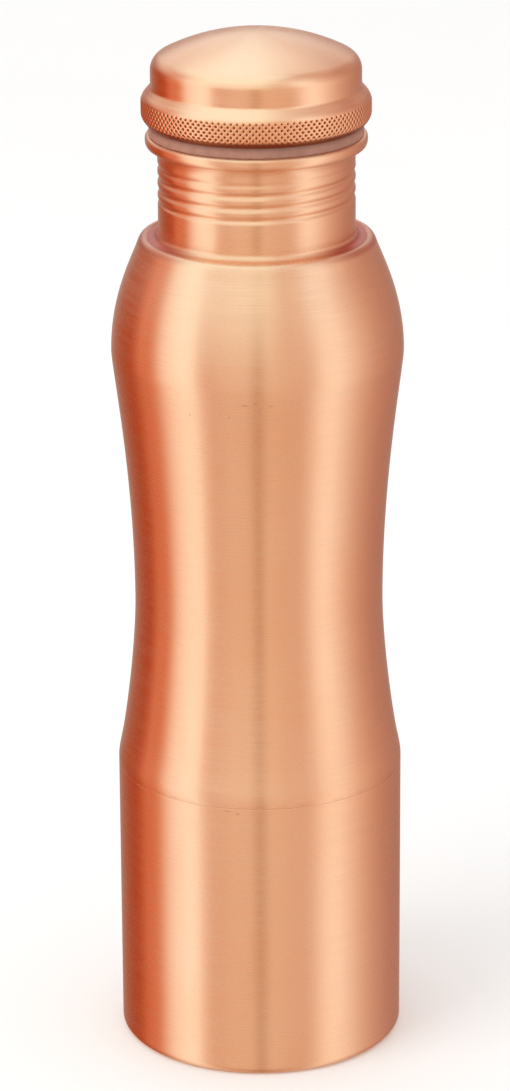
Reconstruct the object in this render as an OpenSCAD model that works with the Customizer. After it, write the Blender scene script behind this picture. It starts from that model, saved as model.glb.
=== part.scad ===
// Copper water bottle: a waisted body of spun copper sheet, a neck with a rolled
// screw thread, and a domed lid whose threaded plug screws down inside the neck.
// Millimetres, +Z up. The origin is the middle of the foot, on the standing surface.

/* [Body] */
// Outside diameter of the straight base section
base_d = 74; // [73.6:0.1:75]
// Height at which the straight base section bends in towards the waist
kink_z = 77; // [77:0.5:80]
// Outside diameter at the narrowest point of the waist
waist_d = 64.2; // [63:0.1:66]
// Height of the narrowest point of the waist
waist_z = 120.5; // [115:0.5:126]
// Outside diameter at the widest point of the bulge
bulge_d = 74.6; // [73.4:0.1:76]
// Height of the widest point of the bulge
bulge_z = 187; // [183:0.5:190]
// Outside diameter of the rim at the top of the shoulder
rim_d = 57.2; // [56.8:0.1:58.4]
// Height of the rim at the top of the shoulder
rim_z = 216.9; // [216.2:0.1:217.8]
// Height of the lap joint between the two body shells
seam_z = 75; // [60:1:75]
// Thickness of the copper sheet
sheet_t = 0.5; // [0.45:0.05:0.65]

/* [Foot] */
// Outside radius of the rounded bottom edge
foot_r = 2.1; // [1.5:0.1:2.5]
// Diameter of the hole that the foot flange leaves
foot_bore_d = 67; // [66:0.5:68]
// Rise of the dished middle of the base plate
dish_h = 2.8; // [1:0.1:5]

/* [Neck] */
// Outside diameter of the neck
neck_d = 49.9; // [49.5:0.1:50.3]
// Outside diameter of the rolled drinking lip
lip_d = 56; // [55.4:0.1:56.6]
// Height of the top of the drinking lip
lip_z = 243.2; // [242.6:0.1:244]
// Height where the rolled thread starts
thread_z0 = 225; // [222:0.1:226]
// Height where the rolled thread ends
thread_z1 = 237.3; // [236:0.1:237.3]
// Rise of the thread in one turn
thread_pitch = 3.1; // [2.6:0.1:3.4]
// Depth of the rolled thread
thread_depth = 0.55; // [0.4:0.05:0.7]
// Height of a groove of the thread on the +X side
groove_z = 224.5; // [224:0.05:227]

/* [Lid] */
// Overall height of the closed bottle
total_h = 269.3; // [267:0.1:272]
// Diameter of the straight wall of the cap
cap_d = 53; // [52.4:0.1:53.6]
// Diameter of the knurled bead round the cap
bead_d = 57.9; // [57.5:0.1:58.5]
// Radius of the domed top
dome_r = 53; // [48:0.5:60]
// Radius of the rounded edge between dome and wall
cap_edge_r = 4.5; // [3:0.1:5]
// Height of the gasket that shows between lip and cap
gasket_h = 2.8; // [2.6:0.1:3.2]
// Outside diameter of the gasket
gasket_d = 54.2; // [53.8:0.1:54.6]
// Depth of the plug below the drinking lip
plug_depth = 14.7; // [12:0.1:15.5]
// Radial gap between the two threads
thread_gap = 0.3; // [0.25:0.05:0.4]

/* [Hidden] */

$fn = 96;
copper = [0.80, 0.50, 0.34];
dark_copper = [0.55, 0.30, 0.20];
filler = [0.70, 0.58, 0.42];
silicone = [0.68, 0.52, 0.48];

base_r = base_d / 2;
waist_r = waist_d / 2;
bulge_r = bulge_d / 2;
rim_r = rim_d / 2;
neck_r = neck_d / 2;
bore_r = neck_r - sheet_t;
lip_r = lip_d / 2;

// The neck's foot flange lies on a shelf inside the rim, with a groove left between them
groove_w = 0.4;
shelf_z = rim_z - 0.2 - sheet_t;
rim_bore_r = rim_r - 0.4;
flange_r = rim_bore_r - groove_w;
shelf_bore_r = neck_r + 1.2;

// Lap joint between the shells: a tongue of the upper one goes down inside the lower one
lap_h = 6;
lap_gap = 0.05;
seam_w = 0.2;
tongue_r = base_r - sheet_t - lap_gap;

// Lid heights, counted up from the lip
cap_z = lip_z + gasket_h;
flange_z = cap_z + sheet_t + 0.1;
plug_flange_r = cap_d / 2 + 0.4;
curl_bore_r = cap_d / 2 - 0.05;
gasket_bore_r = bore_r - thread_depth + 0.05;
plug_root_r = bore_r - thread_depth - thread_gap;
plug_z = lip_z - plug_depth;

// How much narrower the thread's grooves are than its rounded ridges
groove_narrowing = 1.7;

// Facets round a threaded part, and rows of points in one pitch of thread
columns = 48;
rows_per_pitch = 10;

// ---- outlines -------------------------------------------------------------
// An outline is a list of [radius, height] points, going up the outside.

function bezier(a, b, c, d, n = 10) =
    [for (i = [0:n]) let (u = i / n, v = 1 - u)
        v * v * v * a + 3 * v * v * u * b + 3 * v * u * u * c + u * u * u * d];

function arc(centre, r, from, to, n = 6) =
    [for (i = [0:n]) let (a = from + (to - from) * i / n)
        centre + r * [cos(a), sin(a)]];

function reversed(path) = [for (i = [len(path) - 1:-1:0]) path[i]];

// One outline after another, where the next starts on the last point of the one before
function joined(a, b) = concat(a, [for (i = [1:len(b) - 1]) b[i]]);

// Direction out of the sheet at point i
function outward(path, i) =
    let (step = path[min(i + 1, len(path) - 1)] - path[max(i - 1, 0)])
    [step[1], -step[0]] / norm(step);

// The other face of a sheet of thickness t
function inner_face(path, t) = [for (i = [0:len(path) - 1]) path[i] - t * outward(path, i)];

// Body from the kink, which is rounded off, through waist and bulge, to the rounded rim
kink_slope = 0.23;
shoulder_slope = 0.36;
shoulder_top = [rim_r + 2, rim_z - 2.6];
waist_points = bezier([base_r, kink_z], [base_r - 10 * kink_slope, kink_z + 10],
                      [waist_r, waist_z - 12], [waist_r, waist_z]);
waist_curve = concat(bezier([base_r, kink_z - 1], [base_r, kink_z + 1],
                            waist_points[2] + 3.6 * [0.17, -1], waist_points[2], 8),
                     [for (i = [3:len(waist_points) - 1]) waist_points[i]]);
bulge_curve = bezier([waist_r, waist_z], [waist_r, waist_z + 34],
                     [bulge_r, bulge_z - 4.5], [bulge_r, bulge_z], 14);
shoulder_curve = bezier([bulge_r, bulge_z], [bulge_r, bulge_z + 13.5],
                        shoulder_top + 4 * [shoulder_slope, -1], shoulder_top, 12);
rim_curve = bezier(shoulder_top, shoulder_top + 1.5 * [-shoulder_slope, 1],
                   [rim_r + 1, rim_z], [rim_r - 0.1, rim_z], 6);
body_face = joined(joined(waist_curve, bulge_curve), shoulder_curve);

// Cap from the curled lower edge to the top of the dome
dome_c = [0, total_h - dome_r];
edge_x = cap_d / 2 - cap_edge_r;
edge_c = [edge_x, dome_c[1] + sqrt(pow(dome_r - cap_edge_r, 2) - pow(edge_x, 2))];
edge_a = atan2(edge_c[1] - dome_c[1], edge_x);
bead_z0 = cap_z + 2.7;
bead_z1 = cap_z + 5.9;
flare_z = cap_z + 10.1;
cap_face = concat(
    [[bead_d / 2 - 1.55, cap_z + 0.1]],
    bezier([bead_d / 2 - 0.35, bead_z0 - 0.7], [bead_d / 2 - 0.1, bead_z0 - 0.3],
           [bead_d / 2, bead_z0], [bead_d / 2, bead_z0 + 0.3], 3),
    bezier([bead_d / 2, bead_z1 - 0.3], [bead_d / 2, bead_z1 + 0.4],
           [bead_d / 2 - 0.3, bead_z1 + 0.8], [bead_d / 2 - 0.7, bead_z1 + 1.6], 4),
    bezier([bead_d / 2 - 1.35, bead_z1 + 2.4], [cap_d / 2 + 0.45, bead_z1 + 3.2],
           [cap_d / 2, flare_z - 0.7], [cap_d / 2, flare_z], 5),
    arc(edge_c, cap_edge_r, 0, edge_a),
    [for (i = [1:10]) dome_c + dome_r * [cos(edge_a + (90 - edge_a) * i / 10),
                                         sin(edge_a + (90 - edge_a) * i / 10)]]);

// ---- thread ---------------------------------------------------------------

// 1 in the middle of a groove, 0 on a ridge, for a right-hand thread
function groove(z, a) =
    pow((1 + cos(360 * (z - groove_z) / thread_pitch - a)) / 2, groove_narrowing);

// 1 along the thread, running out to 0 over half a pitch at its foot and one pitch at its top
function run_out(z, z0, z1) =
    let (u = min(1, max(0, min(2 * (z - z0), z1 - z) / thread_pitch)))
    u * u * (3 - 2 * u);

function thread_rows(z0, z1) =
    let (n = ceil((z1 - z0) / thread_pitch * rows_per_pitch))
    [for (i = [0:n]) z0 + (z1 - z0) * i / n];

// One ring of points: rolled inwards at the grooves of the neck
function neck_ring(r, z) =
    [for (k = [0:columns - 1]) let (a = 360 * k / columns)
        let (rr = r - thread_depth * groove(z, a) * run_out(z, thread_z0, thread_z1))
        [rr * cos(a), rr * sin(a), z]];

// One ring of points: standing out between the grooves of the plug
function plug_ring(r, z, z0, z1) =
    [for (k = [0:columns - 1]) let (a = 360 * k / columns)
        let (rr = r + thread_depth * (1 - groove(z, a)) * run_out(z, z0, z1))
        [rr * cos(a), rr * sin(a), z]];

// A skin over a list of rings: closed into a hoop, or with a flat disc at both ends
module skin(rings, hoop) {
    n = columns;
    last = len(rings) - 1;
    sides = [for (i = [0:hoop ? last : last - 1], k = [0:n - 1])
        let (a = i * n, b = (i + 1) % len(rings) * n, l = (k + 1) % n)
        each [[a + k, b + k, b + l], [a + k, b + l, a + l]]];
    discs = hoop ? [] : [[for (k = [0:n - 1]) k], [for (k = [n - 1:-1:0]) last * n + k]];
    polyhedron([for (ring = rings) each ring], concat(sides, discs));
}

// ---- bottle ---------------------------------------------------------------

// Threaded neck with a flange at its foot and a rolled drinking lip at its top
module neck_collar() {
    flange_top = rim_z - 0.2;
    foot = concat([[flange_r, shelf_z], [flange_r, flange_top]],
                  bezier([neck_r + 1.6, flange_top], [neck_r + 0.8, flange_top],
                         [neck_r, flange_top + 0.8], [neck_r, flange_top + 1.6], 4));
    lip = concat(bezier([neck_r, lip_z - 5.8], [neck_r, lip_z - 4.9],
                        [neck_r + 0.3, lip_z - 4.2], [neck_r + 0.6, lip_z - 3.6], 3),
                 [[lip_r - 0.5, lip_z - 2.85]],
                 bezier([lip_r - 0.15, lip_z - 2.4], [lip_r - 0.05, lip_z - 2.2],
                        [lip_r, lip_z - 1.9], [lip_r, lip_z - 1.5], 3),
                 arc([lip_r - 0.9, lip_z - 0.9], 0.9, 0, 90, 6),
                 arc([bore_r + 0.7, lip_z - 0.7], 0.7, 90, 180, 4));
    rows = thread_rows(thread_z0, thread_z1);
    color(copper)
        skin(concat([for (p = foot) neck_ring(p[0], p[1])],
                    [for (z = rows) neck_ring(neck_r, z)],
                    [for (p = lip) neck_ring(p[0], p[1])],
                    [for (z = reversed(rows)) neck_ring(bore_r, z)],
                    [neck_ring(bore_r, shelf_z + 0.5), neck_ring(bore_r + 0.5, shelf_z)]),
             hoop = true);
}

// Waist, bulge and shoulder, with the shelf for the neck and the tongue of the lap joint
module upper_shell() {
    tongue_z = seam_z - lap_h;
    step_z = seam_z + seam_w / 2;
    outside = concat([[tongue_r, tongue_z], [tongue_r, step_z], [base_r, step_z]],
                     joined(body_face, rim_curve),
                     [[rim_bore_r, rim_z - 0.1], [rim_bore_r, shelf_z], [shelf_bore_r, shelf_z]]);
    inside = concat([[tongue_r - sheet_t, tongue_z], [tongue_r - sheet_t, step_z + 0.2],
                     [base_r - sheet_t, step_z + 0.6]],
                    inner_face(body_face, sheet_t),
                    [[rim_bore_r, shelf_z - sheet_t], [shelf_bore_r, shelf_z - sheet_t]]);
    color(copper)
        rotate_extrude()
            polygon(concat(outside, reversed(inside)));
}

// Straight base section with its bottom edge turned in to a foot flange
module lower_shell() {
    corner = [base_r - foot_r, foot_r];
    top_z = seam_z - seam_w / 2;
    color(copper)
        rotate_extrude()
            polygon(concat([[foot_bore_d / 2, 0]],
                           arc(corner, foot_r, -90, 0),
                           [[base_r, top_z], [base_r - sheet_t, top_z]],
                           arc(corner, foot_r - sheet_t, 0, -90),
                           [[foot_bore_d / 2, sheet_t]]));
}

// Dished disc that closes the bottom, lying on the foot flange
module base_plate() {
    plate_r = base_r - foot_r - 0.1;
    top_z = sheet_t + dish_h;
    under = concat([[0, top_z]],
                   bezier([24, top_z], [28, top_z], [28.5, sheet_t], [32.5, sheet_t]),
                   [[plate_r, sheet_t]]);
    color(copper)
        rotate_extrude()
            polygon(concat(under, [for (p = reversed(under)) p + [0, sheet_t]]));
}

// Filler left in the groove between the neck's flange and the shoulder's rim
module neck_braze_ring() {
    color(filler)
        rotate_extrude()
            polygon([[flange_r, shelf_z], [rim_bore_r, shelf_z],
                     [rim_bore_r, shelf_z + sheet_t], [flange_r, shelf_z + sheet_t]]);
}

// Filler left in the hairline gap of the lap joint
module seam_braze_ring() {
    z0 = seam_z - seam_w / 2;
    color(filler)
        rotate_extrude()
            polygon([[tongue_r + lap_gap, z0], [base_r - 0.04, z0],
                     [base_r - 0.04, z0 + seam_w], [tongue_r + lap_gap, z0 + seam_w]]);
}

// Fillet of filler between the foot flange and the underside of the base plate
module base_braze_ring() {
    leg = 0.45;
    color(filler)
        rotate_extrude()
            polygon([[foot_bore_d / 2, sheet_t - leg], [foot_bore_d / 2, sheet_t],
                     [foot_bore_d / 2 - leg, sheet_t]]);
}

// ---- lid ------------------------------------------------------------------

// Silicone ring between lip and cap, with a step that fits inside the cap's curled edge
module gasket() {
    color(silicone)
        rotate_extrude()
            polygon([[gasket_bore_r, lip_z], [gasket_d / 2, lip_z], [gasket_d / 2, cap_z],
                     [curl_bore_r - 0.1, cap_z], [curl_bore_r - 0.1, flange_z],
                     [gasket_bore_r, flange_z]]);
}

// Domed cap with a bead, curled in at the bottom to hold the plug's flange
module cap_shell() {
    inside = inner_face(cap_face, sheet_t);
    color(copper)
        rotate_extrude()
            polygon(concat([[curl_bore_r, cap_z], [bead_d / 2 - 1.7, cap_z]],
                           cap_face,
                           [[0, total_h - sheet_t]],
                           reversed([for (p = inside) if (p[0] > 0.5 && p[1] > flange_z + 0.1) p]),
                           [[plug_flange_r + 0.05, flange_z], [curl_bore_r, flange_z]]));
}

// Closed cup that screws down into the neck and hangs by its flange inside the cap
module cap_plug() {
    z0 = plug_z + 1;
    z1 = thread_z1 - 0.4;
    inner_r = plug_root_r - sheet_t;
    rows = thread_rows(z0, z1);
    color(dark_copper)
        skin(concat([plug_ring(plug_root_r - 1, plug_z, z0, z1),
                     plug_ring(plug_root_r - 0.3, plug_z + 0.3, z0, z1)],
                    [for (z = rows) plug_ring(plug_root_r, z, z0, z1)],
                    [plug_ring(plug_root_r, flange_z, z0, z1),
                     plug_ring(plug_flange_r, flange_z, z0, z1),
                     plug_ring(plug_flange_r, flange_z + sheet_t, z0, z1),
                     plug_ring(inner_r, flange_z + sheet_t, z0, z1),
                     plug_ring(inner_r, z0, 0, 1),
                     plug_ring(inner_r - 0.5, plug_z + sheet_t, 0, 1)]),
             hoop = false);
}

neck_collar();
upper_shell();
lower_shell();
base_plate();
neck_braze_ring();
seam_braze_ring();
base_braze_ring();
gasket();
cap_shell();
cap_plug();
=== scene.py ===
"""Copper water bottle: the visual model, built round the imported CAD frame.

Every piece is a fine lathed skin, one for each node of the CAD model, in brushed copper,
filler or silicone. Lengths are metres in the CAD's frame: +Z up, foot at z = 0, front at -Y.
"""

import math

import bpy
from mathutils import Matrix, Vector


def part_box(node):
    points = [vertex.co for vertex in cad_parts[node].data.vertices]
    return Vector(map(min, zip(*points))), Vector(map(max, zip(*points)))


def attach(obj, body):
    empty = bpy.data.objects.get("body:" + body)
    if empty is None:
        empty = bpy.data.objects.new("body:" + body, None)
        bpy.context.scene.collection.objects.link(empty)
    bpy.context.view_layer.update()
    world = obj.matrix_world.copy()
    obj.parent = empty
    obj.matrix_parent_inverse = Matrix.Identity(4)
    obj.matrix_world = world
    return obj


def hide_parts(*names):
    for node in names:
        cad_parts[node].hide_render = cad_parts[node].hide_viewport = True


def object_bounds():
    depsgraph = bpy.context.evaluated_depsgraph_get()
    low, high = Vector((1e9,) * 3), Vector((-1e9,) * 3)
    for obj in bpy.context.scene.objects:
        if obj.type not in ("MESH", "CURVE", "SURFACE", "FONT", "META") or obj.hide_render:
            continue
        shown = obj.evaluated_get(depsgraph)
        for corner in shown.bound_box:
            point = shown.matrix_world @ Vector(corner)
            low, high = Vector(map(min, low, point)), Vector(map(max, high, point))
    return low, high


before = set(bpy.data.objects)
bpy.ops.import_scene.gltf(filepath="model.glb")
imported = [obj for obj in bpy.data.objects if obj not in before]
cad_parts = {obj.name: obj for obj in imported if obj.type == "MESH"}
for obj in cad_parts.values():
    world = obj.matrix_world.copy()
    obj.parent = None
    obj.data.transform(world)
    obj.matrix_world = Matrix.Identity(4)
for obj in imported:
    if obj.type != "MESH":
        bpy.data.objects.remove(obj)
cad_low, cad_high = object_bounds()

MM = 0.001
TURN = 2 * math.pi

# ---- sizes -----------------------------------------------------------------
# What a node's box gives is read from the frame; the rest repeats the CAD's driving sizes.


def radius_of(node):
    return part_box(node)[1].x


def bottom_of(node):
    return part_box(node)[0].z


def top_of(node):
    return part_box(node)[1].z


SHEET = 0.5 * MM
CHAMFER = 0.1 * MM

base_r = radius_of("lower_shell")
bulge_r = radius_of("upper_shell")
waist_r = 32.1 * MM
kink_z = 77 * MM
waist_z = 120.5 * MM
bulge_z = 187 * MM
rim_z = top_of("upper_shell")
rim_r = 28.6 * MM
seam_low, seam_high = bottom_of("seam_braze_ring"), top_of("seam_braze_ring")
foot_r = 2.1 * MM
foot_bore_r = 33.5 * MM

flange_r = radius_of("neck_collar")
shelf_z = bottom_of("neck_collar")
lip_z = top_of("neck_collar")
neck_r = 24.95 * MM
bore_r = neck_r - SHEET
lip_r = 28 * MM
THREAD_LOW, THREAD_HIGH = 225 * MM, 237.3 * MM
PITCH = 3.1 * MM
THREAD_DEPTH = 0.55 * MM
THREAD_GAP = 0.3 * MM
GROOVE_Z = 224.5 * MM
GROOVE_NARROWING = 1.7

gasket_r = radius_of("gasket")
cap_z = bottom_of("cap_shell")
cap_top = top_of("cap_shell")
bead_r = radius_of("cap_shell")
cap_r = 26.5 * MM
dome_r = 53 * MM
edge_r = 4.5 * MM
flange_z = top_of("gasket")
plug_z = bottom_of("cap_plug")
plug_flange_r = radius_of("cap_plug")
plug_root_r = bore_r - THREAD_DEPTH - THREAD_GAP

# ---- outlines: lists of (radius, height), going up the outside ---------------


def bezier(a, b, c, d, n):
    curve = []
    for i in range(n + 1):
        u = i / n
        v = 1 - u
        weights = (v**3, 3 * v * v * u, 3 * v * u * u, u**3)
        curve.append(tuple(sum(w * p[k] for w, p in zip(weights, (a, b, c, d))) for k in (0, 1)))
    return curve


def arc(centre, r, start, end, n):
    points = []
    for i in range(n + 1):
        a = math.radians(start + (end - start) * i / n)
        points.append((centre[0] + r * math.cos(a), centre[1] + r * math.sin(a)))
    return points


def line(a, b, n):
    return [(a[0] + (b[0] - a[0]) * i / n, a[1] + (b[1] - a[1]) * i / n) for i in range(n + 1)]


def joined(*paths):
    """The paths as one, without the doubled points where they meet."""
    points = []
    for path in paths:
        for p in path:
            if not points or math.dist(p, points[-1]) > 1e-6:
                points.append(p)
    return points


def outward(path, i):
    """Unit vector out of the sheet at point i."""
    a, b = path[max(i - 1, 0)], path[min(i + 1, len(path) - 1)]
    dr, dz = b[0] - a[0], b[1] - a[1]
    length = math.hypot(dr, dz)
    return dz / length, -dr / length


def inner_face(path, t=SHEET):
    face = []
    for i, (r, z) in enumerate(path):
        n = outward(path, i)
        face.append((r - t * n[0], z - t * n[1]))
    return face


def evenly(path, step):
    """The path again, with points one step apart."""
    lengths = [0]
    for a, b in zip(path, path[1:]):
        lengths.append(lengths[-1] + math.dist(a, b))
    count = max(1, round(lengths[-1] / step))
    points, k = [], 0
    for i in range(count + 1):
        s = lengths[-1] * i / count
        while k < len(path) - 2 and lengths[k + 1] < s:
            k += 1
        share = (s - lengths[k]) / (lengths[k + 1] - lengths[k])
        points.append(tuple(a + (b - a) * share for a, b in zip(path[k], path[k + 1])))
    return points


def smooth(x, low, high):
    u = min(1, max(0, (x - low) / (high - low)))
    return u * u * (3 - 2 * u)


# ---- meshes ------------------------------------------------------------------

SHARP_ANGLE = math.radians(38)


def lathe(name, outline, columns, shape=None, closed=True, hollow=None):
    """Turns an outline round Z into one smooth closed skin.

    closed: the outline is a hoop; otherwise both its ends lie on the axis.
    shape(i, angle, r, z) moves a point; hollow(i, angle) from 0 to 1 is kept in the mesh for the
    material, as how much it darkens the point: tarnish, painted shade and painted shadow.
    """
    points, depth, rings = [], [], []
    for i, (r, z) in enumerate(outline):
        if r < 1e-7:
            rings.append([len(points)])
            points.append((0, 0, z))
            depth.append(0)
            continue
        rings.append(range(len(points), len(points) + columns))
        for k in range(columns):
            a = TURN * k / columns
            rr, zz = shape(i, a, r, z) if shape else (r, z)
            points.append((rr * math.cos(a), rr * math.sin(a), zz))
            depth.append(hollow(i, a) if hollow else 0)
    faces = []
    for low, high in zip(rings, rings[1:] + rings[:1] if closed else rings[1:]):
        if len(low) == len(high) == 1:
            continue
        for k in range(columns):
            n = (k + 1) % columns
            if len(low) == 1:
                faces.append((low[0], high[n], high[k]))
            elif len(high) == 1:
                faces.append((low[k], low[n], high[0]))
            else:
                faces.append((low[k], low[n], high[n], high[k]))
    mesh = bpy.data.meshes.new(name)
    mesh.from_pydata(points, [], faces)
    mesh.polygons.foreach_set("use_smooth", [True] * len(faces))
    mesh.set_sharp_from_angle(angle=SHARP_ANGLE)
    if hollow:
        mesh.attributes.new("hollow", "FLOAT", "POINT").data.foreach_set("value", depth)
    mesh.update()
    piece = bpy.data.objects.new(name, mesh)
    bpy.context.collection.objects.link(piece)
    return piece


def place(piece, material, body, node):
    piece.data.materials.append(material)
    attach(piece, body)
    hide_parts(node)
    return piece


# ---- body --------------------------------------------------------------------

KINK_SLOPE = 0.23
SHOULDER_SLOPE = 0.36
SHELL_COLUMNS = 240
TONGUE_LENGTH = 6 * MM
TONGUE_GAP = 0.05 * MM
SEAM_EDGE = 0.02 * MM
FILLER_WIDTH = {"neck_braze_ring": 0.4 * MM, "seam_braze_ring": 0.5 * MM,
                "base_braze_ring": 0.45 * MM}
FILLER_HOLLOW = 0.03 * MM

shoulder_top = (rim_r + 2 * MM, rim_z - 2.6 * MM)
waist_points = bezier((base_r, kink_z), (base_r - 10 * MM * KINK_SLOPE, kink_z + 10 * MM),
                      (waist_r, waist_z - 12 * MM), (waist_r, waist_z), 40)
kink_end = waist_points[8]
waist_curve = joined(bezier((base_r, kink_z - 1 * MM), (base_r, kink_z + 1 * MM),
                            (kink_end[0] + 0.61 * MM, kink_end[1] - 3.6 * MM), kink_end, 20),
                     waist_points[9:])
bulge_curve = bezier((waist_r, waist_z), (waist_r, waist_z + 34 * MM),
                     (bulge_r, bulge_z - 4.5 * MM), (bulge_r, bulge_z), 48)
shoulder_curve = bezier((bulge_r, bulge_z), (bulge_r, bulge_z + 13.5 * MM),
                        (shoulder_top[0] + 4 * MM * SHOULDER_SLOPE, shoulder_top[1] - 4 * MM),
                        shoulder_top, 30)
rim_curve = bezier(shoulder_top,
                   (shoulder_top[0] - 1.5 * MM * SHOULDER_SLOPE, shoulder_top[1] + 1.5 * MM),
                   (rim_r + 1 * MM, rim_z), (rim_r - 0.1 * MM, rim_z), 12)


def upper_shell():
    """Waist, bulge and shoulder, with the neck's shelf and the tongue of the lap joint."""
    tongue_r = base_r - SHEET - TONGUE_GAP
    tongue_z = (seam_low + seam_high) / 2 - TONGUE_LENGTH
    rim_bore_r = rim_r - FILLER_WIDTH["neck_braze_ring"]
    shelf_bore_r = neck_r + 1.2 * MM
    face = joined(waist_curve, bulge_curve, shoulder_curve)
    bend = arc((base_r - SEAM_EDGE, seam_high + SEAM_EDGE), SEAM_EDGE, -90, 0, 3)
    outside = joined([(tongue_r, tongue_z), (tongue_r, seam_high)], bend,
                     line((base_r, seam_high + 0.3 * MM), (base_r, kink_z - 1 * MM), 2),
                     face, rim_curve,
                     [(rim_bore_r, rim_z - CHAMFER), (rim_bore_r, shelf_z),
                      (shelf_bore_r, shelf_z)])
    inside = joined([(tongue_r - SHEET, tongue_z), (tongue_r - SHEET, seam_high + 0.2 * MM),
                     (base_r - SHEET, seam_high + 0.5 * MM)], inner_face(face)[::2],
                    [(rim_bore_r, shelf_z - SHEET), (shelf_bore_r, shelf_z - SHEET)])
    return lathe("shell_upper", outside + inside[::-1], SHELL_COLUMNS)


def lower_shell():
    """Straight base section, its bottom edge turned in to a foot flange."""
    corner = (base_r - foot_r, foot_r)
    bend = arc((base_r - SEAM_EDGE, seam_low - SEAM_EDGE), SEAM_EDGE, 0, 90, 3)
    outside = joined([(foot_bore_r, CHAMFER), (foot_bore_r + 0.15 * MM, 0)],
                     arc(corner, foot_r, -90, 0, 12),
                     line((base_r, foot_r + 1 * MM), (base_r, seam_low - 0.5 * MM), 30), bend)
    inside = joined([(base_r - SHEET, seam_low)], arc(corner, foot_r - SHEET, 0, -90, 8),
                    [(foot_bore_r + 0.15 * MM, SHEET), (foot_bore_r, SHEET - CHAMFER)])
    return lathe("shell_lower", outside + inside, SHELL_COLUMNS)


def base_plate():
    """Dished disc with a shallow ring pressed in its middle."""
    plate_r = radius_of("base_plate")
    low, high = bottom_of("base_plate"), top_of("base_plate") - SHEET
    pressed_z = high - 0.35 * MM
    ring = bezier((7 * MM, pressed_z), (8 * MM, pressed_z), (8 * MM, high), (9 * MM, high), 8)
    under = joined([(0, pressed_z), (3 * MM, pressed_z)], ring,
                   line((10 * MM, high), (24 * MM, high), 6),
                   bezier((24 * MM, high), (28 * MM, high), (28.5 * MM, low),
                          (32.5 * MM, low), 16),
                   [(plate_r - CHAMFER, low), (plate_r, low + CHAMFER)])
    over = [(r, z + SHEET) for r, z in under[:-1]]
    return lathe("base_dish", under + over[::-1], SHELL_COLUMNS, closed=False)


def filler_ring(node, name):
    """A ring of filler that fills its groove, its open face a shallow hollow."""
    low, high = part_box(node)
    outer, inner = high.x, high.x - FILLER_WIDTH[node]
    if node == "base_braze_ring":
        section = [(outer, low.z), (outer, high.z), (inner, high.z),
                   (outer - 0.6 * FILLER_WIDTH[node], high.z - FILLER_HOLLOW)]
    elif node == "seam_braze_ring":
        mid = (low.z + high.z) / 2
        section = [(inner, low.z), (outer, low.z), (outer - 0.1 * FILLER_HOLLOW, mid),
                   (outer, high.z), (inner, high.z)]
    else:
        mid = (outer + inner) / 2
        section = [(inner, low.z), (outer, low.z), (outer, high.z - FILLER_HOLLOW),
                   (mid, high.z - 2 * FILLER_HOLLOW), (inner, high.z - FILLER_HOLLOW)]
    return lathe(name, section, SHELL_COLUMNS)


# ---- neck and plug -------------------------------------------------------------

NECK_COLUMNS = 256
THREAD_STEP = PITCH / 16
LIP_EDGE = 0.9 * MM
BORE_EDGE = 0.7 * MM
PLUG_EDGE = 1 * MM


def groove(z, a):
    """1 in the middle of a groove of the right-hand thread, 0 on a ridge."""
    return ((1 + math.cos(TURN * (z - GROOVE_Z) / PITCH - a)) / 2)**GROOVE_NARROWING


def run_out(z, low, high):
    """1 along the thread, running out to 0 over half a pitch at its foot and one at its top."""
    return smooth(min(2 * (z - low), high - z), 0, PITCH)


def thread_heights(low, high):
    count = round((high - low) / THREAD_STEP)
    return [low + (high - low) * i / count for i in range(count + 1)]


def neck_collar():
    """Neck rolled with a thread, a fillet and flange at its foot, a rolled lip on top."""
    flange_top = rim_z - 0.2 * MM
    foot = joined([(flange_r, shelf_z), (flange_r, flange_top - CHAMFER),
                   (flange_r - CHAMFER, flange_top)],
                  bezier((neck_r + 1.6 * MM, flange_top), (neck_r + 0.8 * MM, flange_top),
                         (neck_r, flange_top + 0.8 * MM), (neck_r, flange_top + 1.6 * MM), 10),
                  line((neck_r, flange_top + 1.8 * MM), (neck_r, THREAD_LOW - 0.2 * MM), 10))
    cove = bezier((neck_r, lip_z - 5.8 * MM), (neck_r, lip_z - 4.9 * MM),
                  (neck_r + 0.3 * MM, lip_z - 4.2 * MM), (neck_r + 0.6 * MM, lip_z - 3.6 * MM), 8)
    under_lip = bezier(cove[-1], (neck_r + 1 * MM, lip_z - 3.1 * MM),
                       (lip_r - 1.1 * MM, lip_z - 3.1 * MM),
                       (lip_r - 0.5 * MM, lip_z - 2.85 * MM), 8)
    lip = joined(cove, under_lip,
                 bezier(under_lip[-1], (lip_r - 0.15 * MM, lip_z - 2.5 * MM),
                        (lip_r, lip_z - 2 * MM), (lip_r, lip_z - 1.4 * MM), 8),
                 arc((lip_r - LIP_EDGE, lip_z - LIP_EDGE), LIP_EDGE, 0, 90, 12),
                 line((lip_r - 1.2 * MM, lip_z), (bore_r + 0.9 * MM, lip_z), 4),
                 arc((bore_r + BORE_EDGE, lip_z - BORE_EDGE), BORE_EDGE, 90, 180, 8))
    heights = thread_heights(THREAD_LOW, THREAD_HIGH)
    outline = joined(foot, [(neck_r, z) for z in heights], lip,
                     [(bore_r, z) for z in heights[::-1]],
                     [(bore_r, shelf_z + 0.5 * MM), (bore_r + 0.5 * MM, shelf_z)])

    def rolled(i, a, r, z):
        return r - THREAD_DEPTH * groove(z, a) * run_out(z, THREAD_LOW, THREAD_HIGH), z

    return lathe("neck_threaded", outline, NECK_COLUMNS, shape=rolled)


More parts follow.
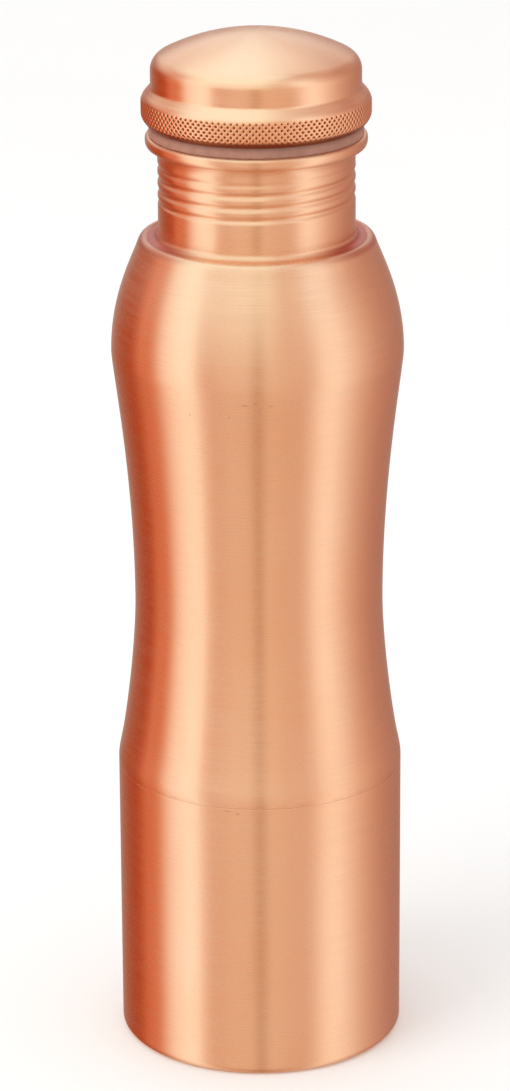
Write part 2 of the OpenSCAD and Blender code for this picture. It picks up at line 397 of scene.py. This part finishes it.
def cap_plug():
    """Closed cup with the lid's thread on its wall and a flange at its rim."""
    low, high = plug_z + PLUG_EDGE, THREAD_HIGH - 0.4 * MM
    inner_r = plug_root_r - SHEET
    top = top_of("cap_plug")
    pressed_z = plug_z + 0.3 * MM
    under = joined([(0, pressed_z), (6 * MM, pressed_z)],
                   bezier((6 * MM, pressed_z), (7 * MM, pressed_z), (7 * MM, plug_z),
                          (8 * MM, plug_z), 6),
                   line((9 * MM, plug_z), (plug_root_r - PLUG_EDGE, plug_z), 4))
    wall = joined(under, arc((plug_root_r - PLUG_EDGE, low), PLUG_EDGE, -90, 0, 8),
                  [(plug_root_r, z) for z in thread_heights(low, high)],
                  [(plug_root_r, flange_z - 0.3 * MM), (plug_root_r + 0.3 * MM, flange_z),
                   (plug_flange_r, flange_z), (plug_flange_r, top), (inner_r, top),
                   (inner_r, low), (inner_r - 0.5 * MM, pressed_z + SHEET),
                   (0, pressed_z + SHEET)])

    def threaded(i, a, r, z):
        if abs(r - plug_root_r) > 0.01 * MM:
            return r, z
        return r + THREAD_DEPTH * (1 - groove(z, a)) * run_out(z, low, high), z

    return lathe("lid_plug", wall, NECK_COLUMNS, shape=threaded, closed=False)


# ---- lid -----------------------------------------------------------------------

KNURLS = 116
KNURL_HEIGHT = 1.69 * MM
KNURL_DEPTH = 0.34 * MM
SAMPLES = 8


def cap_shell():
    """Domed cap: smooth above, with a diamond knurl pressed into the bead's outer face."""
    bead_low, bead_high = cap_z + 2.85 * MM, cap_z + 5.8 * MM
    flare_z, flare_top = cap_z + 6.3 * MM, cap_z + 10.1 * MM
    dome_c = (0, cap_top - dome_r)
    edge_x = cap_r - edge_r
    edge_c = (edge_x, dome_c[1] + math.sqrt((dome_r - edge_r)**2 - edge_x**2))
    edge_a = math.degrees(math.atan2(edge_c[1] - dome_c[1], edge_x))
    curl_bore_r = cap_r - 0.05 * MM
    curl = (bead_r - 1.5 * MM, cap_z + 0.15 * MM)
    bead_end = (bead_r - 0.07 * MM, flare_z)
    flare_mid = (bead_r - 1.35 * MM, flare_z + 2 * MM)
    bead = joined([(bead_r - 1.62 * MM, cap_z), curl],
                  bezier(curl, (bead_r - 0.48 * MM, cap_z + 1.2 * MM),
                         (bead_r, cap_z + 2 * MM), (bead_r, bead_low), 14),
                  bezier((bead_r, bead_high), (bead_r, bead_high + 0.25 * MM),
                         (bead_r - 0.03 * MM, bead_high + 0.4 * MM), bead_end, 4))
    flare = joined(bezier(bead_end, (bead_r - 0.3 * MM, flare_z + 0.75 * MM),
                          (bead_r - 0.75 * MM, flare_z + 1.4 * MM), flare_mid, 12),
                   bezier(flare_mid, (cap_r + 0.45 * MM, flare_z + 2.85 * MM),
                          (cap_r, flare_top - 0.7 * MM), (cap_r, flare_top), 10))
    knurled = evenly(joined(bead, flare[:5]), KNURL_HEIGHT / SAMPLES)
    dome = arc(dome_c, dome_r, edge_a, 90, 12)[:-1] + [(0, cap_top)]
    face = joined(knurled, flare[5:], arc(edge_c, edge_r, 0, edge_a, 10), dome)
    lining = [(r, z) for r, z in inner_face(face, 1.6 * SHEET)[::6]
              if z > flange_z + 0.1 * MM and r > 0.5 * MM]
    outline = joined([(curl_bore_r, flange_z), (curl_bore_r, cap_z)], face,
                     [(0, cap_top - SHEET)], lining[::-1],
                     [(plug_flange_r + 0.05 * MM, flange_z)])
    first = outline.index(knurled[0])
    last = first + len(knurled) - 1

    def pit(i, a):
        """1 in the middle of a diamond pit, 0 on the ridges between."""
        if not first <= i <= last:
            return 0
        up = (last - i) / SAMPLES + 0.5
        around = KNURLS * a / TURN
        hollow = (math.cos(math.pi * (around + up)) * math.cos(math.pi * (around - up)))**2
        return hollow * smooth(last - i, 0, 5) * smooth(i - first, 3, 12)

    def tarnish_and_shade(i, a):
        """How dark the cap is painted: in the pits, partly tarnish and partly painted shade;
        on the curl under the bead, painted shadow.
        """
        if not first <= i <= last:
            return 0
        on_curl = smooth(14 - (i - first), 0, 9)
        return max(pit(i, a), 0.1 * smooth(last - i, 1, 5), 0.6 * on_curl)

    def pressed(i, a, r, z):
        if not first <= i <= last:
            return r, z
        out_r, out_z = outward(outline, i)
        depth = KNURL_DEPTH * pit(i, a)
        return r - depth * out_r, z - depth * out_z

    return lathe("lid_cap", outline, KNURLS * SAMPLES, shape=pressed, hollow=tarnish_and_shade)


def gasket():
    """Silicone ring, soft-edged, its upper step inside the cap's curled edge."""
    bore, step_r = 23.8 * MM, cap_r - 0.15 * MM
    edge = 0.25 * MM
    section = joined([(bore + edge, lip_z), (gasket_r - edge, lip_z)],
                     arc((gasket_r - edge, lip_z + edge), edge, -90, 0, 6),
                     bezier((gasket_r, lip_z + edge), (gasket_r, lip_z + 1 * MM),
                            (gasket_r - 0.12 * MM, lip_z + 1.6 * MM),
                            (gasket_r - 0.1 * MM, cap_z - 0.2 * MM), 8),
                     [(gasket_r - 0.25 * MM, cap_z), (step_r, cap_z), (step_r, flange_z),
                      (bore + edge, flange_z)],
                     arc((bore + edge, flange_z - edge), edge, 90, 180, 4),
                     arc((bore + edge, lip_z + edge), edge, 180, 270, 4))
    return lathe("lid_gasket", section, SHELL_COLUMNS)


# ---- materials -----------------------------------------------------------------

COPPER = (0.95, 0.60, 0.41, 1)
COPPER_RED = (0.92, 0.50, 0.32, 1)
COPPER_PALE = (0.96, 0.64, 0.46, 1)
COPPER_BRIGHT = (0.97, 0.68, 0.50, 1)
COPPER_DEEP = (0.95, 0.47, 0.27, 1)
# Painted shade in the knurl's pits, partly tarnish, and painted shadow on the curl
COPPER_BROWN = (0.22, 0.05, 0.014, 1)
COPPER_STAIN = (0.58, 0.25, 0.13, 1)
# Painted shade for the left and right sides of the neck's foot
COPPER_SIDE_SHADE = (0.50, 0.05, 0.03, 1)
FILLER_DARK = (0.82, 0.48, 0.33, 1)
FILLER_PALE = (0.94, 0.60, 0.43, 1)
RUBBER = (0.36, 0.165, 0.115, 1)
RUBBER_PALE = (0.43, 0.205, 0.145, 1)
RUBBER_SHADED = (0.16, 0.05, 0.03, 1)
FLOOR_GREY = (0.90, 0.895, 0.89, 1)
FLOOR_WHITE = (0.94, 0.935, 0.93, 1)

# Small stains on the body: degrees from the front, height, width and height of the stain
STAINS = [(-5, 183 * MM, 2.4 * MM, 0.5 * MM), (-1, 183.6 * MM, 1.3 * MM, 0.4 * MM),
          (5, 182.8 * MM, 1.6 * MM, 0.3 * MM), (-27, 179.4 * MM, 0.5 * MM, 1.5 * MM),
          (-25, 178.6 * MM, 0.4 * MM, 1.2 * MM), (-11, 179.6 * MM, 0.8 * MM, 0.6 * MM),
          (-13, 74.2 * MM, 2.6 * MM, 0.4 * MM), (-9, 73.6 * MM, 1.2 * MM, 0.6 * MM)]


class Nodes:
    """Short ways to add and link shader nodes in one material or world."""

    def __init__(self, owner):
        owner.use_nodes = True
        self.tree = owner.node_tree
        self.tree.nodes.clear()

    def add(self, kind, **settings):
        node = self.tree.nodes.new(kind)
        for name, value in settings.items():
            setattr(node, name, value)
        return node

    def link(self, source, target):
        if isinstance(source, (int, float, tuple)):
            target.default_value = source
        else:
            self.tree.links.new(source, target)

    def math(self, operation, *values, clamp=False):
        node = self.add("ShaderNodeMath", operation=operation, use_clamp=clamp)
        for value, socket in zip(values, node.inputs):
            self.link(value, socket)
        return node.outputs[0]

    def vector(self, x, y, z):
        node = self.add("ShaderNodeCombineXYZ")
        for value, socket in zip((x, y, z), node.inputs):
            self.link(value, socket)
        return node.outputs[0]

    def split(self, vector):
        node = self.add("ShaderNodeSeparateXYZ")
        self.link(vector, node.inputs[0])
        return node.outputs

    def noise(self, vector, detail=3, roughness=0.5):
        node = self.add("ShaderNodeTexNoise")
        self.link(vector, node.inputs["Vector"])
        node.inputs["Scale"].default_value = 1
        node.inputs["Detail"].default_value = detail
        node.inputs["Roughness"].default_value = roughness
        return node.outputs[0]

    def span(self, value, low, high, to_low, to_high):
        node = self.add("ShaderNodeMapRange", interpolation_type="SMOOTHSTEP")
        for v, socket in zip((value, low, high, to_low, to_high), node.inputs):
            self.link(v, socket)
        return node.outputs[0]

    def mix(self, share, a, b, blend="MIX"):
        node = self.add("ShaderNodeMix", data_type="RGBA", blend_type=blend)
        self.link(share, node.inputs["Factor"])
        colours = [s for s in node.inputs if s.type == "RGBA"]
        self.link(a, colours[0])
        self.link(b, colours[1])
        return next(s for s in node.outputs if s.type == "RGBA")

    def ramp(self, value, stops):
        node = self.add("ShaderNodeValToRGB")
        elements = node.color_ramp.elements
        elements[0].position, elements[0].color = stops[0][0], (*stops[0][1], 1)
        elements[1].position, elements[1].color = stops[-1][0], (*stops[-1][1], 1)
        for position, colour in stops[1:-1]:
            elements.new(position).color = (*colour, 1)
        self.link(value, node.inputs[0])
        return node.outputs[0]

    def on_piece(self):
        """The shaded point's place on its piece, in the piece's own axes."""
        return self.add("ShaderNodeTexCoord").outputs["Object"]

    def from_axis(self, x, y):
        """How far from Z the point is, never quite 0."""
        squares = self.math("ADD", self.math("MULTIPLY", x, x), self.math("MULTIPLY", y, y))
        return self.math("MAXIMUM", self.math("SQRT", squares), 1e-5)

    def round_axis(self, around, up):
        """A vector for noise that runs in rings about Z: slow around, fast up."""
        x, y, z = self.split(self.on_piece())
        r = self.from_axis(x, y)
        return self.vector(self.math("MULTIPLY", self.math("DIVIDE", x, r), around),
                           self.math("MULTIPLY", self.math("DIVIDE", y, r), around),
                           self.math("MULTIPLY", z, up))

    def principled(self, colour, roughness, metallic=0):
        """The material's one shader, linked to its output."""
        shader = self.add("ShaderNodeBsdfPrincipled")
        self.link(colour, shader.inputs["Base Color"])
        self.link(roughness, shader.inputs["Roughness"])
        shader.inputs["Metallic"].default_value = metallic
        self.link(shader.outputs[0], self.add("ShaderNodeOutputMaterial").inputs["Surface"])
        return shader

    def bumped(self, shader, height, strength, distance):
        bump = self.add("ShaderNodeBump")
        bump.inputs["Strength"].default_value = strength
        bump.inputs["Distance"].default_value = distance
        self.link(height, bump.inputs["Height"])
        self.link(bump.outputs[0], shader.inputs["Normal"])

    def brushed(self, shader, anisotropy):
        """Gives a shader highlights that spread across the brush lines, which run round Z."""
        shader.inputs["Anisotropic"].default_value = anisotropy
        shader.inputs["Anisotropic Rotation"].default_value = 0.25
        tangent = self.add("ShaderNodeTangent", direction_type="RADIAL", axis="Z")
        self.link(tangent.outputs[0], shader.inputs["Tangent"])


def stained(n):
    """How stained the body is: small spots, and a thin broken film along the seam."""
    x, y, z = n.split(n.on_piece())
    ragged = n.noise(n.round_axis(900, 2600), detail=2)
    film = n.math("ABSOLUTE", n.math("SUBTRACT", z, seam_high + 0.4 * MM))
    broken = n.span(n.noise(n.round_axis(7, 60), detail=2), 0.5, 0.68, 0, 0.3)
    marks = n.math("MULTIPLY", n.span(film, 0, 0.7 * MM, 1, 0), broken)
    for turn, height, wide, high in STAINS:
        a = math.radians(turn)
        r = base_r if height < kink_z else bulge_r
        from_centre = n.vector(n.math("DIVIDE", n.math("SUBTRACT", x, r * math.sin(a)), wide / 2),
                               n.math("DIVIDE", n.math("ADD", y, r * math.cos(a)), 4 * wide),
                               n.math("DIVIDE", n.math("SUBTRACT", z, height), high / 2))
        length = n.add("ShaderNodeVectorMath", operation="LENGTH")
        n.link(from_centre, length.inputs[0])
        spot = n.span(length.outputs["Value"], 0.1, 1.3, 0.75, 0)
        marks = n.math("MAXIMUM", marks, spot)
    return n.math("MULTIPLY", marks, n.span(ragged, 0.3, 0.62, 0.25, 1))


def side_shade(n):
    """How much painted shade darkens the copper round the brazed foot of the neck, at its
    left and right sides: a painted dark reflection.
    """
    x, y, z = n.split(n.on_piece())
    side = n.math("DIVIDE", n.math("ABSOLUTE", x), n.from_axis(x, y))
    low = n.span(z, rim_z - 2 * MM, rim_z - 0.7 * MM, 0, 1)
    high = n.span(z, rim_z + 0.1 * MM, rim_z + 0.9 * MM, 1, 0)
    return n.math("MULTIPLY", n.span(side, 0.45, 0.9, 0, 0.88), n.math("MULTIPLY", low, high))


def copper(name, roughness=0.26, hairline=0.065, anisotropy=1.0, pits=False, paler_top_and_stains=False):
    """Satin copper, brushed in rings about Z.

    hairline is how strongly the brush lines stand out. pits: the mesh's hollow attribute
    darkens the knurl's pits, partly tarnish and partly painted shade, and the curl under the
    bead with painted shadow. Without pits, painted shade darkens the sides of the neck's foot.
    The last flag makes the copper paler from the bulge up over the shoulder, and adds small
    stains.
    """
    material = bpy.data.materials.new(name)
    n = Nodes(material)
    fine = n.noise(n.round_axis(2.5, 4200), detail=2)
    coarse = n.noise(n.round_axis(1.2, 700))
    patch = n.noise(n.round_axis(1.6, 22), detail=2)
    grain = n.math("ADD", n.math("MULTIPLY", fine, 0.6), n.math("MULTIPLY", coarse, 0.4))

    tone = n.mix(n.span(patch, 0.35, 0.65, 0, 1), COPPER, COPPER_PALE)
    colour = n.mix(n.math("MULTIPLY", n.span(grain, 0.35, 0.65, 1, 0), 0.18), tone, COPPER_RED)
    if pits:
        # Darkens the pits (partly tarnish, partly painted shade) and paints shadow on the curl.
        hollow = n.add("ShaderNodeAttribute", attribute_name="hollow").outputs["Fac"]
        colour = n.mix(n.span(hollow, 0, 0.14, 0, 0.6), colour, COPPER_DEEP)
        colour = n.mix(n.span(hollow, 0.21, 0.62, 0, 0.95), colour, COPPER_BROWN)
    else:
        # Painted shade: the left and right sides of the neck's foot are darkened.
        colour = n.mix(side_shade(n), colour, COPPER_SIDE_SHADE)
    if paler_top_and_stains:
        height = n.split(n.on_piece())[2]
        # Paler from the bulge up over the shoulder.
        colour = n.mix(n.span(height, 178 * MM, 198 * MM, 0, 0.45), colour, COPPER_BRIGHT)
        colour = n.mix(stained(n), colour, COPPER_STAIN)

    rough = n.span(grain, 0.3, 0.7, roughness - 0.04, roughness + 0.05)
    shader = n.principled(colour, rough, metallic=1)
    n.bumped(shader, grain, hairline, 0.02 * MM)
    n.brushed(shader, anisotropy)
    return material


def filler(name):
    """Tarnished brazing filler, a little lumpy."""
    material = bpy.data.materials.new(name)
    n = Nodes(material)
    lumps = n.noise(n.round_axis(60, 900))
    shader = n.principled(n.mix(lumps, FILLER_DARK, FILLER_PALE),
                          n.span(lumps, 0.3, 0.7, 0.3, 0.42), metallic=1)
    n.bumped(shader, lumps, 0.2, 0.05 * MM)
    n.brushed(shader, 0.9)
    return material


def silicone(name):
    """Cloudy silicone rubber that takes on copper's colour, with painted shade up under the cap.
    """
    material = bpy.data.materials.new(name)
    n = Nodes(material)
    cloud = n.noise(n.round_axis(9, 260))
    height = n.split(n.on_piece())[2]
    rubber = n.mix(n.span(cloud, 0.3, 0.7, 0, 1), RUBBER, RUBBER_PALE)
    shaded = n.mix(n.span(height, cap_z - 1.5 * MM, cap_z, 0, 0.6), rubber, RUBBER_SHADED)
    shader = n.principled(shaded, n.span(cloud, 0.3, 0.7, 0.42, 0.52))
    shader.inputs["Subsurface Weight"].default_value = 0.35
    shader.inputs["Subsurface Radius"].default_value = (1.0, 0.6, 0.45)
    shader.inputs["Subsurface Scale"].default_value = 1.2 * MM
    n.bumped(shader, cloud, 0.15, 0.05 * MM)
    return material


def pale_floor(name):
    """Nearly white paper, very slightly mottled."""
    material = bpy.data.materials.new(name)
    n = Nodes(material)
    scale = n.add("ShaderNodeVectorMath", operation="SCALE")
    n.link(n.on_piece(), scale.inputs[0])
    scale.inputs["Scale"].default_value = 3
    shader = n.principled(n.mix(n.noise(scale.outputs[0]), FLOOR_GREY, FLOOR_WHITE), 0.7)
    shader.inputs["Specular IOR Level"].default_value = 0.2
    return material


# ---- build ---------------------------------------------------------------------

body_copper = copper("copper_body", paler_top_and_stains=True)
neck_copper = copper("copper_neck", roughness=0.28, hairline=0.07, anisotropy=0.95)
lid_copper = copper("copper_lid", roughness=0.24, hairline=0.06, anisotropy=0.6, pits=True)
plug_copper = copper("copper_plug", roughness=0.42, hairline=0.15, anisotropy=0.6)
braze = filler("filler")
soft = silicone("silicone")

place(upper_shell(), body_copper, "bottle", "upper_shell")
place(lower_shell(), body_copper, "bottle", "lower_shell")
place(base_plate(), body_copper, "bottle", "base_plate")
place(neck_collar(), neck_copper, "bottle", "neck_collar")
for ring_node, ring_name in (("neck_braze_ring", "filler_neck"),
                             ("seam_braze_ring", "filler_seam"),
                             ("base_braze_ring", "filler_base")):
    place(filler_ring(ring_node, ring_name), braze, "bottle", ring_node)
place(gasket(), soft, "seal", "gasket")
place(cap_shell(), lid_copper, "lid", "cap_shell")
place(cap_plug(), plug_copper, "lid", "cap_plug")

# ---- floor, light and camera -----------------------------------------------------

FLOOR_SIZE = 30


def floor():
    """A pale sheet just under the foot, which the metal doesn't mirror."""
    half = FLOOR_SIZE / 2
    mesh = bpy.data.meshes.new("floor")
    mesh.from_pydata([(-half, -half, 0), (half, -half, 0), (half, half, 0), (-half, half, 0)],
                     [], [(0, 1, 2, 3)])
    ground = bpy.data.objects.new("floor", mesh)
    bpy.context.collection.objects.link(ground)
    mesh.materials.append(pale_floor("pale_floor"))
    ground.location.z = cad_low.z - 0.05 * MM
    ground.visible_glossy = False


# What the metal mirrors: soft panels round the bottle, each with its direction in degrees,
# where 0 is towards the viewer and 90 to the right, and its colour.
PANELS_BELOW = [
    (-180, (0.60, 0.30, 0.20)),
    (-150, (0.90, 0.60, 0.45)),
    (-120, (1.00, 0.85, 0.70)),
    (-95, (1.05, 1.00, 0.88)),
    (-75, (0.90, 0.75, 0.60)),
    (-55, (0.56, 0.33, 0.23)),
    (0, (0.45, 0.22, 0.13)),
    (55, (0.56, 0.33, 0.23)),
    (75, (0.90, 0.75, 0.60)),
    (95, (1.05, 1.00, 0.88)),
    (120, (0.95, 0.75, 0.62)),
    (150, (0.80, 0.50, 0.38)),
    (180, (0.60, 0.30, 0.20)),
]
PANELS_LOW = [
    (-180, (0.56, 0.42, 0.38)),
    (-160, (0.45, 0.28, 0.24)),
    (-145, (0.41, 0.145, 0.095)),
    (-132, (0.42, 0.085, 0.03)),
    (-119, (0.44, 0.07, 0.022)),
    (-112, (0.58, 0.13, 0.055)),
    (-105, (0.77, 0.26, 0.14)),
    (-97, (0.71, 0.225, 0.11)),
    (-92, (0.74, 0.28, 0.15)),
    (-87, (0.86, 0.48, 0.33)),
    (-82, (1.02, 0.80, 0.67)),
    (-75, (1.12, 1.04, 0.94)),
    (-62, (1.18, 1.18, 1.09)),
    (-53, (1.14, 1.08, 0.98)),
    (-47, (0.88, 0.66, 0.53)),
    (-40, (0.78, 0.53, 0.40)),
    (-22, (0.85, 0.62, 0.47)),
    (-9, (0.84, 0.61, 0.46)),
    (0, (0.62, 0.40, 0.27)),
    (9, (0.86, 0.63, 0.47)),
    (38, (0.78, 0.55, 0.42)),
    (46, (0.87, 0.67, 0.54)),
    (52, (1.02, 0.88, 0.76)),
    (60, (1.11, 1.03, 0.92)),
    (68, (1.10, 1.02, 0.91)),
    (77, (1.00, 0.86, 0.75)),
    (90, (0.84, 0.62, 0.50)),
    (106, (0.67, 0.43, 0.34)),
    (124, (0.55, 0.31, 0.25)),
    (140, (0.48, 0.27, 0.21)),
    (156, (0.43, 0.25, 0.22)),
    (180, (0.56, 0.42, 0.38)),
]
PANELS_HIGH = [
    (-180, (1.02, 1.06, 1.04)),
    (-156, (0.90, 0.80, 0.75)),
    (-132, (0.78, 0.60, 0.52)),
    (-108, (0.76, 0.44, 0.34)),
    (-94, (0.88, 0.66, 0.55)),
    (-84, (1.05, 1.05, 0.98)),
    (-66, (1.11, 1.25, 1.16)),
    (-40, (1.06, 1.06, 0.95)),
    (-8, (1.05, 1.06, 0.90)),
    (8, (1.00, 0.96, 0.79)),
    (24, (0.82, 0.64, 0.49)),
    (36, (0.92, 0.78, 0.64)),
    (50, (1.12, 1.14, 1.08)),
    (66, (1.04, 1.00, 0.92)),
    (80, (0.84, 0.66, 0.57)),
    (98, (0.66, 0.42, 0.34)),
    (120, (0.54, 0.30, 0.24)),
    (145, (0.58, 0.36, 0.29)),
    (163, (0.78, 0.66, 0.62)),
    (180, (1.02, 1.06, 1.04)),
]
PANELS_TOP = [
    (-180, (1.12, 1.30, 1.30)),
    (-60, (1.08, 1.27, 1.20)),
    (10, (1.08, 1.25, 1.15)),
    (45, (0.91, 0.82, 0.75)),
    (90, (0.73, 0.55, 0.46)),
    (130, (0.75, 0.57, 0.49)),
    (160, (1.02, 1.05, 1.00)),
    (180, (1.12, 1.30, 1.30)),
]
ZENITH = (1.08, 1.26, 1.20, 1)
ROOM = (1.03, 1.03, 1.03, 1)


def studio():
    """A neutral room for the floor and the rubber, and soft panels for the metal to mirror.

    The panels change from ring to ring with z, the height of the direction that is mirrored.
    """
    world = bpy.data.worlds.new("studio")
    bpy.context.scene.world = world
    n = Nodes(world)
    world.cycles.sampling_method = "NONE"
    x, y, z = n.split(n.add("ShaderNodeTexCoord").outputs["Generated"])
    azimuth = n.math("ARCTAN2", x, n.math("MULTIPLY", y, -1))
    share = n.math("ADD", n.math("DIVIDE", azimuth, TURN), 0.5)
    below, low, high, top = [n.ramp(share, [((a + 180) / 360, c) for a, c in panels])
                             for panels in (PANELS_BELOW, PANELS_LOW, PANELS_HIGH, PANELS_TOP)]
    mirrored = n.mix(n.span(z, -0.95, -0.7, 0, 1), below, low)
    mirrored = n.mix(n.span(z, 0.05, 0.42, 0, 1), mirrored, high)
    mirrored = n.mix(n.span(z, 0.5, 0.85, 0, 1), mirrored, top)
    mirrored = n.mix(n.span(z, 0.9, 0.99, 0, 1), mirrored, ZENITH)
    ray = n.add("ShaderNodeLightPath")
    colour = n.mix(ray.outputs["Is Glossy Ray"], ROOM, mirrored)
    back = n.add("ShaderNodeBackground")
    n.link(colour, back.inputs["Color"])
    n.link(back.outputs[0], n.add("ShaderNodeOutputWorld").inputs["Surface"])


def soft_key():
    """A large soft lamp from the upper left, for the shadow on the floor."""
    lamp = bpy.data.lights.new("key", "AREA")
    lamp.shape = "RECTANGLE"
    lamp.size, lamp.size_y = 0.9, 0.9
    lamp.energy = 7
    holder = bpy.data.objects.new("key", lamp)
    bpy.context.collection.objects.link(holder)
    holder.location = (-0.9, -0.7, 1.3)
    aim = Vector((0, 0, 0.12)) - holder.location
    holder.rotation_euler = aim.to_track_quat("-Z", "Y").to_euler()
    holder.visible_camera = False
    holder.visible_glossy = False


CAMERA_BACK, CAMERA_HEIGHT = 1.091, 0.5158
CAMERA_DOWN, CAMERA_TURN, CAMERA_ROLL = 19.31, 0.050, -0.343
LENS, SENSOR = 147.4, 36


def camera():
    """The photo's view, as fitted: how far back and up, and how it looks down."""
    data = bpy.data.cameras.new("camera")
    data.lens = LENS
    data.sensor_fit = "AUTO"
    data.sensor_width = SENSOR
    view = bpy.data.objects.new("camera", data)
    bpy.context.collection.objects.link(view)
    turned = Matrix.Rotation(math.radians(CAMERA_TURN), 4, "Z")
    tilted = Matrix.Rotation(math.radians(90 - CAMERA_DOWN), 4, "X")
    rolled = Matrix.Rotation(math.radians(CAMERA_ROLL), 4, "Z")
    moved = Matrix.Translation((0, -CAMERA_BACK, CAMERA_HEIGHT))
    view.matrix_world = moved @ turned @ tilted @ rolled
    data.clip_start, data.clip_end = 0.05, 100
    bpy.context.scene.camera = view


floor()
studio()
soft_key()
camera()
bpy.context.scene.view_settings.view_transform = "Standard"
